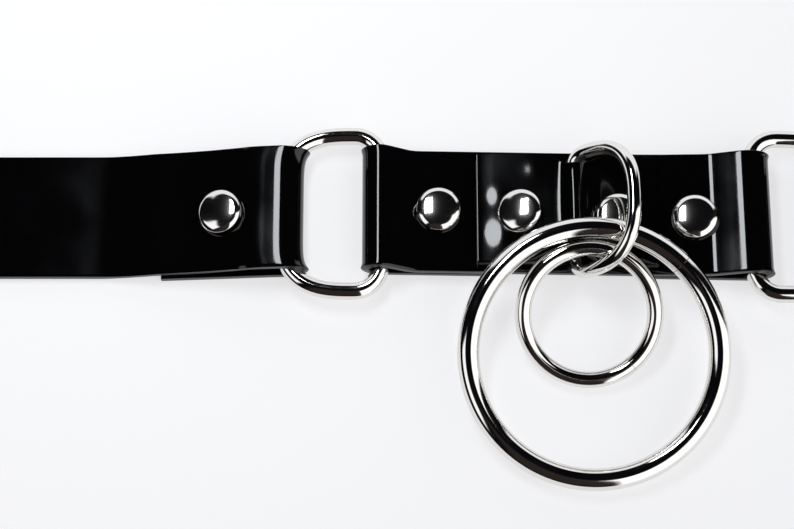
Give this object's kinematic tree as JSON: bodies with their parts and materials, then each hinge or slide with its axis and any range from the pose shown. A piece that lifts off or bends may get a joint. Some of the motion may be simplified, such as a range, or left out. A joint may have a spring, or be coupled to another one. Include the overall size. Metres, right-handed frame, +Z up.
{
  "type": "double ring belt",
  "caption": "Narrow waist belt in three strap lengths joined by D rings, with round rings hanging from a riveted centre patch and a prong buckle.",
  "frame": {"origin": "centre of the belt's footprint, on the surface it lies on", "axes": "+X along the belt towards the buckle, +Z up off the surface, -Y the way the round rings are laid"},
  "size_m": [0.77, 0.0721, 0.0183],
  "materials": {
    "vinyl": "high gloss",
    "nickel": "polished"
  },
  "bodies": {
    "root": {"left_strap": "vinyl", "middle_strap": "vinyl", "right_strap": "vinyl", "ring_patch": "vinyl", "left_dee_ring": "nickel", "right_dee_ring": "nickel", "link_ring": "nickel", "big_ring": "nickel", "small_ring": "nickel", "buckle": "nickel", "left_rivet": "nickel", "middle_rivet_1": "nickel", "middle_rivet_2": "nickel", "middle_rivet_3": "nickel", "middle_rivet_4": "nickel", "right_rivet": "nickel", "buckle_rivet": "nickel"}
  },
  "joints": []
}
